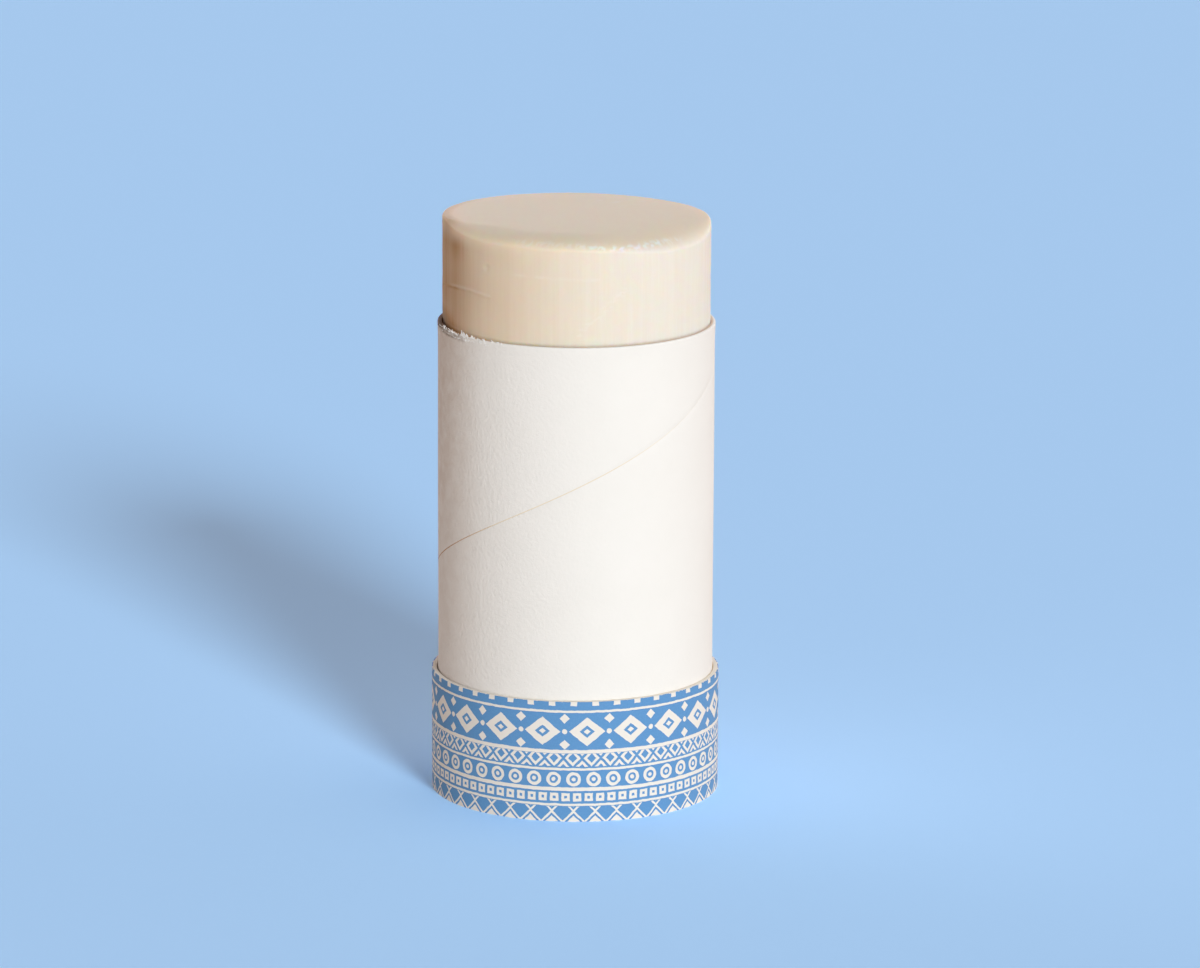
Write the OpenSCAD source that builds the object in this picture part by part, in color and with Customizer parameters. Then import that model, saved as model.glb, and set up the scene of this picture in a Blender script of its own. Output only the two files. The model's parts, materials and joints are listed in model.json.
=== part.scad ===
// Push-up stick in a paper tube, with its cap off and the balm pushed partly out.
// A white spiral-wound board tube holds the balm. A short printed band is glued round its foot.
// A board disc in a paper collar carries the balm and slides up the bore when it is pushed from below.
// +Z runs up the tube's axis, and the origin is the middle of the foot.

/* [White tube] */
// Outside diameter of the tube
tube_od = 45.86; // [34:0.02:64]
// Thickness of the tube's wound board
tube_wall = 0.7; // [0.4:0.05:1.2]
// Height of the tube's rim above its foot
tube_h = 79.4; // [64:0.1:110]
// How far the cut rim spreads, on the radius
rim_flare = 0.12; // [0.04:0.01:0.3]
// Height of the stretch that spreads
rim_flare_h = 3; // [1.5:0.1:6]
// Width of the bevel rubbed inside the rim
rim_bevel = 0.2; // [0.05:0.05:0.3]
// Outer radius of the curl that turns the foot inwards
curl_r = 1.3; // [1.25:0.05:2.2]
// Depth that the glued band presses into the tube, on the radius
press_in = 0.05; // [0.02:0.01:0.1]

/* [Spiral seam] */
// Rise of the outer ply's edge in one turn
seam_pitch = 71.5; // [50:0.5:90]
// Height of the seam above the foot on the tube's left side
seam_left_h = 38.6; // [30:0.1:50]
// Opening between the ply's edges at the surface, where the seam is widest
seam_w = 0.16; // [0.08:0.02:0.3]
// Depth of the seam where it is widest
seam_depth = 0.11; // [0.06:0.01:0.2]
// Share of the opening that is left where the edges meet again
seam_shut = 0.35; // [0.3:0.05:1]
// Turn over which the edges close, to both sides of the left
seam_close_turn = 110; // [60:10:170]

/* [Printed band] */
// Height of the band
band_h = 20.4; // [12:0.1:30]
// Thickness of the band's board
band_wall = 0.97; // [0.8:0.01:1.6]
// Thickness of the printed paper round the board
wrap_t = 0.15; // [0.08:0.01:0.25]
// Width over which the paper's two ends lie on each other
lap_w = 7; // [3:0.5:14]
// Direction of the lap's outer edge, anticlockwise from the right side
lap_turn = 78; // [0:1:359]
// Gap between the tube and the band's open mouth, on the radius
mouth_gap = 0.16; // [0.08:0.01:0.24]
// How far the open mouth stands off towards the left
mouth_shift = 0.1; // [0:0.01:0.14]
// Depth of the open mouth
mouth_h = 3; // [1:0.1:6]

/* [Balm] */
// Length of the balm, from the disc to its highest edge
balm_l = 63.3; // [50:0.1:75]
// How far the balm's highest edge stands out of the rim, as it rests
balm_out = 18; // [6:0.1:30]
// Running clearance between the balm and the bore, on the radius
balm_gap = 0.065; // [0.03:0.005:0.1]
// Slope of the used top
top_tilt = 1.1; // [0:0.1:3]
// Direction in which the top slopes down, anticlockwise from the right side
low_turn = 45; // [-180:5:180]
// Radius of the top's edge where it is still crisp
edge_crisp = 0.4; // [0.3:0.1:1.5]
// Radius of the top's edge where use has worn it down
edge_worn = 2.5; // [1.6:0.1:4]
// Direction of the most worn edge, anticlockwise from the right side
worn_turn = -110; // [-180:5:180]
// How fast the wear dies out to both sides of that direction
worn_spread = 3; // [1:0.5:6]
// Rise of the top's middle above the plane of its edge
top_crown = 0.15; // [0:0.05:1]
// Direction of the flat that use at a slant has worn, anticlockwise from the right side
flat_turn = -42; // [-180:1:180]
// Distance of that flat's inner border from the axis
flat_in = 13; // [8:0.5:20]
// Slope of that flat
flat_tilt = 6; // [2:0.5:10]

/* [Push disc] */
// Thickness of the board disc under the balm
disc_t = 2; // [1:0.1:3]
// Height of the paper collar round the disc
collar_h = 12; // [8:0.5:15]
// Thickness of the collar's paper
collar_wall = 0.8; // [0.5:0.05:1.2]
// Running clearance between the collar and the bore, on the radius
collar_gap = 0.08; // [0.03:0.01:0.1]

/* [Hidden] */
$fn = 120;

tube_r = tube_od / 2;
bore_r = tube_r - tube_wall;
seat_r = tube_r - press_in;
curl_inner_r = curl_r - tube_wall;
curl_mid_r = tube_r - curl_r;
band_r = seat_r + band_wall;
wrap_r = band_r + wrap_t;
lap_angle = lap_w / wrap_r * 180 / PI;

collar_r = bore_r - collar_gap;
disc_r = collar_r - collar_wall;
balm_r = bore_r - balm_gap;
balm_top = tube_h + balm_out;
balm_foot = balm_top - balm_l;
disc_foot = balm_foot - disc_t;
collar_foot = balm_foot - collar_h;

// The balm's true cylinder ends below the deepest wear, and the worn top is set a hair inside it.
top_drop = 2 * balm_r * tan(top_tilt);
flat_drop = (balm_r - flat_in) * tan(flat_tilt);
head_h = edge_worn + top_drop + flat_drop + 0.6;
head_foot = balm_top - head_h;
head_r = balm_r - 0.02;
head_root = 1;
head_sides = 90;
edge_steps = 6;
crown_steps = 6;

// The seam's cutter runs from above the curl to past the rim, one station every few degrees.
seam_low = 2 * curl_r + 1;
seam_high = tube_h + 1;
seam_step = 6;
seam_proud = 0.3;
seam_stations = ceil((seam_high - seam_low) / seam_pitch * 360 / seam_step);

function around(r, turn, z) = [r * cos(turn), r * sin(turn), z];

// Faces of a closed skin over rings of n points each, the first and last ring being flat ends.
function ring_skin(rings, n) = concat(
    [[for (i = [0 : n - 1]) i]],
    [for (k = [0 : rings - 2]) for (i = [0 : n - 1])
        [k * n + i, (k + 1) * n + i, (k + 1) * n + (i + 1) % n]],
    [for (k = [0 : rings - 2]) for (i = [0 : n - 1])
        [k * n + i, (k + 1) * n + (i + 1) % n, k * n + (i + 1) % n]],
    [[for (i = [n - 1 : -1 : 0]) (rings - 1) * n + i]]
);

// Turn at which the seam reaches a height. It climbs as it goes anticlockwise.
function seam_turn(z) = 180 + (z - seam_left_h) / seam_pitch * 360;

// How open the seam is: widest on the left, and closed a good quarter turn on from there.
function seam_open(turn) =
    seam_shut + (1 - seam_shut) * (0.5 + 0.5 * cos(min(abs(turn - 180) / seam_close_turn, 1) * 180));

// One V-shaped section of the seam: its root in the board, then its two lips outside the wall.
function seam_section(z) =
    let (
        deep = seam_depth * seam_open(seam_turn(z)),
        half_w = seam_w / 2 * seam_open(seam_turn(z)) * (deep + seam_proud) / deep
    )
    [
        around(tube_r - deep, seam_turn(z), z),
        around(tube_r + seam_proud, seam_turn(z), z - half_w),
        around(tube_r + seam_proud, seam_turn(z), z + half_w)
    ];

function seam_points() = [
    for (s = [0 : seam_stations])
        for (p = seam_section(seam_low + s * seam_step / 360 * seam_pitch)) p
];

// Radius of the top's edge in each direction, from crisp to worn.
function edge_r(turn) =
    edge_crisp + (edge_worn - edge_crisp) * pow(0.5 + 0.5 * cos(turn - worn_turn), worn_spread);

// Drop of the used top below its highest edge, with the slanted flat.
function slope_drop(r, turn) =
    tan(top_tilt) * (balm_r + r * cos(turn - low_turn))
    + tan(flat_tilt) * max(r * cos(turn - flat_turn) - flat_in, 0);

// A ring on the rounded edge, from upright (0) to level (90).
function edge_ring(bend) = [
    for (i = [0 : head_sides - 1])
        let (turn = i * 360 / head_sides, er = edge_r(turn), r = head_r - er * (1 - cos(bend)))
        around(r, turn, balm_top - slope_drop(r, turn) - er * (1 - sin(bend)))
];

// A ring on the crowned top, from the edge (0) to the middle (1).
function crown_ring(inward) = [
    for (i = [0 : head_sides - 1])
        let (turn = i * 360 / head_sides, r = (head_r - edge_r(turn)) * (1 - inward))
        around(r, turn, balm_top + top_crown * (1 - pow(1 - inward, 2)) - slope_drop(r, turn))
];

function head_points() = concat(
    [for (i = [0 : head_sides - 1]) around(head_r, i * 360 / head_sides, head_foot - head_root)],
    [for (k = [0 : edge_steps]) for (p = edge_ring(k * 90 / edge_steps)) p],
    [for (k = [1 : crown_steps]) for (p = crown_ring(0.9 * k / crown_steps)) p]
);

// Half of the tube's section: the wall, its spread and bevelled rim, and the curl at the foot.
module tube_section() {
    polygon([
        [bore_r, curl_r],
        [seat_r, curl_r],
        [seat_r, band_h],
        [tube_r, band_h],
        [tube_r, tube_h - rim_flare_h],
        [tube_r + rim_flare, tube_h],
        [bore_r + rim_bevel, tube_h],
        [bore_r, tube_h - 2 * rim_bevel]
    ]);
    translate([curl_mid_r, curl_r]) difference() {
        circle(r = curl_r - press_in);
        circle(r = curl_inner_r);
        square([2 * curl_r, 2 * curl_r]);
    }
}

// White tube: board strip wound in a right-handed spiral, with the seam of its outer ply.
module inner_tube() {
    color("#f6f2ea") difference() {
        rotate_extrude() tube_section();
        polyhedron(points = seam_points(), faces = ring_skin(seam_stations + 1, 3), convexity = 10);
    }
}

// Band's board: glued round the tube's foot, with an open mouth that the cut has sprung a little.
module base_sleeve() {
    color("#e9e2d6") difference() {
        cylinder(r = band_r, h = band_h);
        translate([0, 0, -1]) cylinder(r = seat_r, h = band_h + 2);
        translate([-mouth_shift, 0, band_h - mouth_h]) cylinder(r = tube_r + mouth_gap, h = mouth_h + 1);
    }
}

// Printed paper: one turn round the board, and a lap where its end lies on its start.
module printed_wrap() {
    color("#5e98cf") union() {
        difference() {
            cylinder(r = wrap_r, h = band_h);
            translate([0, 0, -1]) cylinder(r = band_r, h = band_h + 2);
        }
        rotate([0, 0, lap_turn]) rotate_extrude(angle = lap_angle)
            translate([wrap_r - wrap_t / 2, 0]) square([1.5 * wrap_t, band_h]);
    }
}

// Board disc: glued into the top of its collar, under the balm.
module push_disc() {
    color("#d9cbb2") translate([0, 0, disc_foot]) cylinder(r = disc_r, h = disc_t);
}

// Paper collar: keeps the disc square in the bore, and lands on the curl when the balm is right down.
module disc_collar() {
    color("#cbb899") translate([0, 0, collar_foot]) difference() {
        cylinder(r = collar_r, h = collar_h);
        translate([0, 0, -1]) cylinder(r = disc_r, h = collar_h + 2);
    }
}

// Balm: cast in the tube, so it is a true cylinder, with a sloping top whose edge is worn at the front.
module deodorant_stick() {
    color("#ecdcc4") union() {
        translate([0, 0, balm_foot]) cylinder(r = balm_r, h = head_foot - balm_foot);
        polyhedron(points = head_points(), faces = ring_skin(edge_steps + crown_steps + 2, head_sides));
    }
}

inner_tube();
base_sleeve();
printed_wrap();
push_disc();
disc_collar();
deodorant_stick();
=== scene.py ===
# %% [markdown]
# A push-up balm stick in a paper tube
#
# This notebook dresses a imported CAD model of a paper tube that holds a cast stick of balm. The tube is
# white board, wound in a spiral and glued. A short printed paper band is glued round its foot, and a board
# disc in a paper collar carries the balm. Every piece is modelled in metres where the CAD says it is.

# %% Load the frame
import json
import math
import random

import bmesh
import bpy
from mathutils import Matrix, Vector, noise

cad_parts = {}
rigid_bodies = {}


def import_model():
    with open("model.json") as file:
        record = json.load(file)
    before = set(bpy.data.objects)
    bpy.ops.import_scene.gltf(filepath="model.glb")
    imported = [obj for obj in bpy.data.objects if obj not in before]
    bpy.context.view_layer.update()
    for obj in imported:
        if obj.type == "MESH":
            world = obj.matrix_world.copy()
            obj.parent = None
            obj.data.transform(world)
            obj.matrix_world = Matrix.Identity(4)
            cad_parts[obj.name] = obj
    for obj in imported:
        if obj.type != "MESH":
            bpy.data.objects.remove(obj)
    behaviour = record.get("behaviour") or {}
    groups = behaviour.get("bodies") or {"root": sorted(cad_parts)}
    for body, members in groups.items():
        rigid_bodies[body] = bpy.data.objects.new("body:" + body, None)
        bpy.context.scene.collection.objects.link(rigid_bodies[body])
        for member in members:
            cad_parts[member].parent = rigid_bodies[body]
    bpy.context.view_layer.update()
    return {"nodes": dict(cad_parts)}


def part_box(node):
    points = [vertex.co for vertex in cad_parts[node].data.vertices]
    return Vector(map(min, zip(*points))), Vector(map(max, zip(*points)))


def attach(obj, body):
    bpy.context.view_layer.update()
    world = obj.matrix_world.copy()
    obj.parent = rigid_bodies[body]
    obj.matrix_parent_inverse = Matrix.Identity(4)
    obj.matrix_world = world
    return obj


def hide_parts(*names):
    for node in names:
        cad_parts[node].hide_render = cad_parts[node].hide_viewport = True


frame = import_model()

bpy.ops.object.select_all(action="DESELECT")
print("CAD nodes:", sorted(frame["nodes"]))

# %% [markdown]
# Sizes come from the frame's own boxes, so a change of the CAD model moves the dressing with it. Only
# what a box can't tell, such as a board's thickness, is written here as a real size in millimetres. HAIR is
# the smallest distance that counts: points closer than that are at the same place.

# %% Sizes
MM = 0.001
HAIR = 0.001 * MM
TURN = 2 * math.pi

foot_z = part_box("base_sleeve")[0].z
band_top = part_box("base_sleeve")[1].z
rim_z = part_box("inner_tube")[1].z
rim_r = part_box("inner_tube")[1].x
balm_foot, balm_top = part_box("deodorant_stick")[0].z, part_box("deodorant_stick")[1].z
balm_r = (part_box("deodorant_stick")[1].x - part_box("deodorant_stick")[0].x) / 2
wrap_r = -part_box("printed_wrap")[0].x
band_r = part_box("base_sleeve")[1].x

rim_flare = 0.12 * MM
tube_r = rim_r - rim_flare
tube_wall = 0.7 * MM
bore_r = tube_r - tube_wall
press_in = 0.05 * MM
seat_r = tube_r - press_in
wrap_t = wrap_r - band_r
mouth_h = 3.0 * MM
print("tube radius %.2f mm, rim at %.1f mm, band %.1f mm high" % (tube_r / MM, rim_z / MM, band_top / MM))

# %% [markdown]
# Colours are read off a swatch as sRGB hex values. Blender mixes light in linear values, so one small
# function turns a hex value into the linear colour that a shader's socket wants.

# %% Colour helper
def colour(code):
    """Linear RGBA of an sRGB hex value such as "#f2eee6"."""
    parts = [int(code[i:i + 2], 16) / 255 for i in (1, 3, 5)]
    return [c / 12.92 if c <= 0.04045 else ((c + 0.055) / 1.055) ** 2.4 for c in parts] + [1.0]


# %% [markdown]
# Every finish is a small tree of nodes. One function adds a node with its settings and its links. Its inputs
# are named, or listed in the node's own order: a Map Range node's are its value, from, to, and what it gives
# at each end. A number, a list or a hex colour goes on the socket, and a node or a socket is linked to it.
# Mix nodes mix colours here, and most finishes lay tones over one another with them, each by its own share.

# %% Node helper
def add(tree, kind, inputs=(), **settings):
    """A new shader node. inputs, by name or in order, are values, hex colours, sockets or whole nodes."""
    made = tree.nodes.new("ShaderNode" + kind)
    if kind == "Mix":
        made.data_type = "RGBA"
    for name, value in settings.items():
        setattr(made, name, value)
    given = inputs.items() if isinstance(inputs, dict) else enumerate(inputs)
    for name, value in given:
        if isinstance(value, str):
            value = colour(value)
        if isinstance(value, bpy.types.Node):
            value = next(s for s in value.outputs if s.enabled)
        socket = made.inputs[name]
        if isinstance(name, str):
            socket = next(s for s in made.inputs if s.name == name and s.enabled)
        if isinstance(value, bpy.types.NodeSocket):
            tree.links.new(value, socket)
        else:
            socket.default_value = value
    return made


def new_material(name):
    """An empty material, with its tree and the object's own coordinates."""
    material = bpy.data.materials.new(name)
    material.use_nodes = True
    tree = material.node_tree
    tree.nodes.clear()
    return material, tree, add(tree, "TexCoord").outputs["Object"]


def layered(tree, tone, *layers):
    """A tone with other tones over it, each given with the share that it covers."""
    for share, over in layers:
        tone = add(tree, "Mix", {"Factor": share, "A": tone, "B": over})
    return tone


def surface(tree, shader):
    """Makes a shader the material's surface."""
    add(tree, "OutputMaterial", {"Surface": shader})


# %% [markdown]
# Modelling goes through edit mode, as it would by hand. These helpers make a piece the only one selected,
# open it for editing, and pick the points, edges or faces whose corners all pass a test.

# %% Selection helpers
def only(piece):
    """Makes a piece the only one selected, and the active one."""
    bpy.ops.object.select_all(action="DESELECT")
    piece.select_set(True)
    bpy.context.view_layer.objects.active = piece


def edit(piece):
    """Opens a piece in edit mode with nothing selected."""
    only(piece)
    bpy.ops.object.mode_set(mode="EDIT")
    bpy.ops.mesh.select_all(action="DESELECT")


def done(name=None):
    """Leaves edit mode, and names the piece."""
    bpy.ops.object.mode_set(mode="OBJECT")
    piece = bpy.context.object
    if name:
        piece.name = piece.data.name = name
    return piece


def pick(kind, test):
    """Selects only the points ("VERT"), edges ("EDGE") or faces ("FACE") whose corners all pass a test."""
    bpy.ops.mesh.select_mode(type=kind)
    bpy.ops.mesh.select_all(action="DESELECT")
    work = bmesh.from_edit_mesh(bpy.context.object.data)
    items = {"VERT": work.verts, "EDGE": work.edges, "FACE": work.faces}[kind]
    for item in items:
        corners = [item] if kind == "VERT" else item.verts
        if all(test(corner.co) for corner in corners):
            item.select_set(True)
    work.select_flush_mode()
    bmesh.update_edit_mesh(bpy.context.object.data)
    return sum(item.select for item in items)


def turn_outward():
    """Makes all normals of the piece in edit mode point out of it."""
    bpy.ops.mesh.select_all(action="SELECT")
    bpy.ops.mesh.normals_make_consistent(inside=False)


def carry(piece, **numbers):
    """Gives the points of a piece numbers for its finish."""
    for name, values in numbers.items():
        piece.data.attributes.new(name, "FLOAT", "POINT").data.foreach_set("value", values)


def thicken(piece, thickness, offset):
    """Gives a sheet its thickness: on both sides for offset 0, and on its back for offset -1."""
    thick = piece.modifiers.new("thickness", "SOLIDIFY")
    thick.thickness, thick.offset = thickness, offset
    bpy.ops.object.modifier_apply(modifier="thickness")


def radius(p):
    """Distance of a point from the tube's axis."""
    return math.hypot(p.x, p.y)


def azimuth(p):
    """Direction of a point round the axis, in degrees from 0 (right) anticlockwise to 360."""
    return math.degrees(math.atan2(p.y, p.x)) % 360


def smooth(low, high, x):
    """0 below low and 1 above high, with an even ease between them."""
    t = min(max((x - low) / (high - low), 0), 1)
    return t * t * (3 - 2 * t)


def bell(x, middle, width):
    """1 at the middle, falling to almost 0 two widths away."""
    return math.exp(-((x - middle) / width) ** 2)


# %% [markdown]
# Camera. The photograph was taken with a long lens from a little above, so the tube's sides stay almost
# upright. A pinhole camera fitted to the outlines gives its place, its turn and its lens. The long side of
# the picture is 1200 pixels, which the 36 mm wide sensor stands for.

# %% Camera
PICTURE_W = 1200
FOCAL_PX = 6404.0
camera_place = Vector((-43.87, -1036.49, 294.0)) * MM
camera_pitch = math.radians(13.157)
camera_yaw = math.radians(2.645)
camera_roll = math.radians(0.253)

ahead = Vector((math.sin(camera_yaw) * math.cos(camera_pitch),
                math.cos(camera_yaw) * math.cos(camera_pitch), -math.sin(camera_pitch)))
flat_right = Vector((math.cos(camera_yaw), -math.sin(camera_yaw), 0))
upward = flat_right.cross(ahead)
right = math.cos(camera_roll) * flat_right + math.sin(camera_roll) * upward
upward = -math.sin(camera_roll) * flat_right + math.cos(camera_roll) * upward

lens = bpy.data.cameras.new("camera")
lens.sensor_width = 36
lens.lens = lens.sensor_width * FOCAL_PX / PICTURE_W
lens.clip_start, lens.clip_end = 0.05, 20
camera = bpy.data.objects.new("camera", lens)
camera.matrix_world = (Matrix.Translation(camera_place)
                       @ Matrix((right, upward, -ahead)).transposed().to_4x4())
bpy.context.scene.collection.objects.link(camera)
bpy.context.scene.camera = camera
print("lens %.1f mm" % lens.lens)

# %% [markdown]
# Light. The photograph's shadow runs back and to the left, long and soft, so the key is one soft lamp at
# the front right, low over the floor. A sun lamp lights the whole floor alike, and its angle sets how soft
# the shadow is. The rest is soft light from all round: a little warm in front, brighter behind, dark on the
# far left, strongest low down and falling off with the height. A soft glow at the front left stands for a
# bright wall there, which lights the tube's left side but hardly the floor. Key and fill together come to
# about one on a side that faces the key, so a colour renders about as it is written.

# %% Lights
key_turn = math.radians(19.0)
key_rise = math.radians(22.2)
key_soft = math.radians(14)
key_on_side = 0.575
key_tint = (0.87, 0.99, 1.04)
fill_level = 1.53
fill_dark, dark_from, dark_to = 0.22, -0.76, -0.58
fill_behind = 0.76
fill_fall = 1.5
glow_way, glow_narrow, glow_level = [-0.55, -0.83, 0.0], 4.0, 0.62
fill_front, fill_back = [1.33, 1.04, 0.89, 1], [1.13, 1.02, 1.02, 1]

key_way = Vector((math.sin(key_turn) * math.cos(key_rise),
                  -math.cos(key_turn) * math.cos(key_rise), math.sin(key_rise)))
lamp = bpy.data.lights.new("key_softbox", "SUN")
lamp.angle = key_soft
lamp.energy = key_on_side / math.cos(key_rise) * math.pi
lamp.color = key_tint
key = bpy.data.objects.new("key_softbox", lamp)
key.location = key_way
key.rotation_mode = "QUATERNION"
key.rotation_quaternion = (-key_way).to_track_quat("-Z", "Y")
bpy.context.scene.collection.objects.link(key)

# %% [markdown]
# Floor. It is a plain pale blue sheet. What the camera sees of it is blue, but the light that it throws
# back on the object is neutral, because the white board in the photograph shows no blue in its shade. A
# Light Path node tells the two apart. The floor gets less light than the tube's side, so its seen colour
# is scaled up to render as written. The world has the same blue behind the sheet's far edge.

# %% Floor and world
FLOOR_SIZE = 12
floor_seen = colour("#a5ccf3")
floor_gain = 1.73
floor_felt = "#e8e4df"

bpy.ops.mesh.primitive_plane_add(size=FLOOR_SIZE, location=(0, 0, foot_z))
floor = bpy.context.object
floor.name = "floor"
bpy.ops.object.transform_apply(location=True)
floor_paint, tree, _ = new_material("backdrop_paper")
seen = add(tree, "LightPath").outputs["Is Camera Ray"]
bright = [floor_gain * part for part in floor_seen[:3]] + [1.0]
floor_colour = add(tree, "Mix", {"Factor": seen, "A": floor_felt, "B": bright})
sheet = add(tree, "BsdfDiffuse", {"Color": floor_colour})
surface(tree, sheet)
floor.data.materials.append(floor_paint)

world = bpy.data.worlds.new("soft_room")
world.use_nodes = True
room = world.node_tree
room.nodes.clear()
way_in = add(room, "TexCoord").outputs["Generated"]
way = add(room, "SeparateXYZ", [way_in])
side = add(room, "MapRange", [way.outputs["X"], dark_from, dark_to, fill_dark, 1.0])
depth = add(room, "Math", [way.outputs["Y"], fill_behind, 1.0], operation="MULTIPLY_ADD")
toward = add(room, "VectorMath", [way_in, glow_way], operation="DOT_PRODUCT").outputs["Value"]
toward = add(room, "Math", [toward, 0.0], operation="MAXIMUM")
glow = add(room, "Math", [toward, glow_narrow], operation="POWER")
depth = add(room, "Math", [glow, glow_level, depth], operation="MULTIPLY_ADD")
lean = add(room, "Math", [side, depth], operation="MULTIPLY")
low_down = add(room, "Math", [1.0, way.outputs["Z"]], operation="SUBTRACT")
fall = add(room, "Math", [low_down, fill_fall], operation="POWER")
shape = add(room, "Math", [lean, fall], operation="MULTIPLY")
level = add(room, "Math", [shape, fill_level], operation="MULTIPLY")
far = add(room, "MapRange", [way.outputs["Y"], -1.0])
tint = add(room, "Mix", {"Factor": far, "A": fill_front, "B": fill_back})
fill = add(room, "Background", {"Color": tint, "Strength": level})
behind = add(room, "Background", {"Color": floor_seen, "Strength": 1.0})
both = add(room, "MixShader", [add(room, "LightPath").outputs["Is Camera Ray"], fill, behind])
add(room, "OutputWorld", {"Surface": both})
bpy.context.scene.world = world
bpy.context.scene.view_settings.view_transform = "Standard"

# %% [markdown]
# White board. It is uncoated paperboard: wood pulp pressed flat, with no gloss. The eye sees an almost even
# warm white, faint clouds where the pulp is denser, smudges and a rubbed grain on the left where a hand
# holds it. The grain is two noise patterns on the surface's height. The balm's oil has soaked into the bore
# and the cut rim, most of all on the left: the tint goes by the distance from the axis. The lip at the far
# left is painted dark brown, as oil stain and painted shade. Where the outer ply is torn, two numbers that
# the points carry add dirt and painted shade in the crease, and the roughness of loose fibres.
# The shreds that stand up from the tear are whiter, with the sheen of fluffy fibres.

# %% White board
oil_reach = 0.30 * MM
oil_fade = 0.15 * MM
cloud_size, smudge_size, fibre_size, glue_patch = 9 * MM, 2.5 * MM, 0.3 * MM, 1.5 * MM
fluff = 0.25 * MM


def pulp_grain(tree, place, grain_mm, depth, strength=0.5):
    """Bump of pressed pulp: soft pebbles, and a finer tooth on them."""
    pebbles = add(tree, "TexNoise", {"Vector": place, "Scale": 1 / (grain_mm * MM), "Detail": 2.0})
    tooth = add(tree, "TexNoise", {"Vector": place, "Scale": 4 / (grain_mm * MM), "Detail": 2.0})
    height = add(tree, "Math", [tooth, 0.35, pebbles], operation="MULTIPLY_ADD")
    return add(tree, "Bump", {"Height": height, "Strength": strength, "Distance": depth})


def from_axis(tree, place):
    """Distance of the shaded point from the tube's axis."""
    flat = add(tree, "VectorMath", [place, [1, 1, 0]], operation="MULTIPLY")
    return add(tree, "VectorMath", [flat], operation="LENGTH").outputs["Value"]


white_board, tree, place = new_material("white_uncoated_board")
clouds = add(tree, "TexNoise", {"Vector": place, "Scale": 1 / cloud_size, "Detail": 4.0, "Roughness": 0.6})
pulp = add(tree, "Mix", {"Factor": clouds, "A": "#fbf9f6", "B": "#f6f4f0"})
across = add(tree, "SeparateXYZ", [place]).outputs["X"]
held, leftward, far_left, rubbed = [
    add(tree, "MapRange", [across, left * tube_r, right_end * tube_r, most, least])
    for left, right_end, most, least in ((-0.98, -0.7, 1.0, 0.0), (-0.9, -0.4, 0.95, 0.5),
                                         (-0.97, -0.9, 0.85, 0.0), (-0.9, 0.2, 1.3, 0.3))]
smudges = add(tree, "TexNoise", {"Vector": place, "Scale": 1 / smudge_size, "Detail": 4.0,
                                 "Distortion": 0.6})
up = add(tree, "SeparateXYZ", [place]).outputs["Z"]
upper = add(tree, "MapRange", [up, band_top, rim_z, 0.35, 1.1])
grubby = add(tree, "Math", [held, smudges], operation="MULTIPLY")
grubby = add(tree, "Math", [grubby, upper], operation="MULTIPLY")
oil_r = bore_r + oil_reach
soaked = add(tree, "MapRange", [from_axis(tree, place), oil_r, oil_r + oil_fade, 1.0, 0.0])
oily = add(tree, "Math", [soaked, leftward], operation="MULTIPLY")
# The lip at the far left is painted dark brown: oil stain and painted shade.
at_lip = add(tree, "MapRange", [up, rim_z - 0.3 * MM, rim_z - 0.05 * MM])
lip_stain_and_shade = add(tree, "Math", [at_lip, far_left], operation="MULTIPLY")
# Dirt and painted shade in the torn ply's crease.
dirt = add(tree, "Attribute", attribute_name="dirt").outputs["Fac"]
tone = layered(tree, pulp, (grubby, "#d3c0b1"), (oily, "#c6925a"), (lip_stain_and_shade, "#745c4c"), (dirt, "#99826f"))
fray = add(tree, "Attribute", attribute_name="fray").outputs["Fac"]
fibres = add(tree, "TexNoise", {"Vector": place, "Scale": 1 / fibre_size, "Detail": 4.0, "Roughness": 0.7})
loose_fibres = add(tree, "Math", [fibres, fray], operation="MULTIPLY")
frayed = add(tree, "Bump", {"Height": loose_fibres, "Strength": 1.0, "Distance": fluff,
                            "Normal": pulp_grain(tree, place, 0.6, 0.1 * MM, rubbed)})
face = add(tree, "BsdfPrincipled", {"Base Color": tone, "Roughness": 0.75, "IOR": 1.5,
                                    "Specular IOR Level": 0.25, "Normal": frayed})
surface(tree, face)

torn_fibre, tree, _ = new_material("torn_paper_fibre")
face = add(tree, "BsdfPrincipled", {"Base Color": "#ffffff", "Roughness": 0.9,
                                    "Specular IOR Level": 0.2, "Sheen Weight": 0.6})
surface(tree, face)

glue_line, tree, place = new_material("seam_glue_line")
patchy = add(tree, "TexNoise", {"Vector": place, "Scale": 1 / glue_patch, "Detail": 3.0})
glue = add(tree, "Mix", {"Factor": patchy, "A": "#ad763c", "B": "#cf9d60"})
across = add(tree, "SeparateXYZ", [place]).outputs["X"]
closed = add(tree, "MapRange", [across, -0.97 * tube_r, -0.6 * tube_r])
faint = add(tree, "MapRange", [across, 0.2 * tube_r, 0.8 * tube_r])
tone = layered(tree, glue, (closed, "#f0e4cf"), (faint, "#f9f6f0"))
face = add(tree, "BsdfPrincipled", {"Base Color": tone, "Roughness": 0.7, "Specular IOR Level": 0.2})
surface(tree, face)
print("made", white_board.name, "and", glue_line.name)

# %% [markdown]
# The tube's wall is a strip of board wound in a spiral, so it is modelled the same way. A plane is added on
# edge and only one of its edges is kept: the strip, seen from its end. Both ends are drawn inwards, which
# makes half of the V between two turns. The Screw modifier then winds this line round the axis and lifts it
# by one pitch a turn, so that the edges of neighbouring turns meet in the seam.

# %% Wind the tube's wall
seam_pitch = 71.5 * MM
seam_left_z = 38.6 * MM
seam_w = 0.16 * MM
seam_depth = 0.11 * MM
SIDES = 480
STRIP_ROWS = 60

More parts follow.
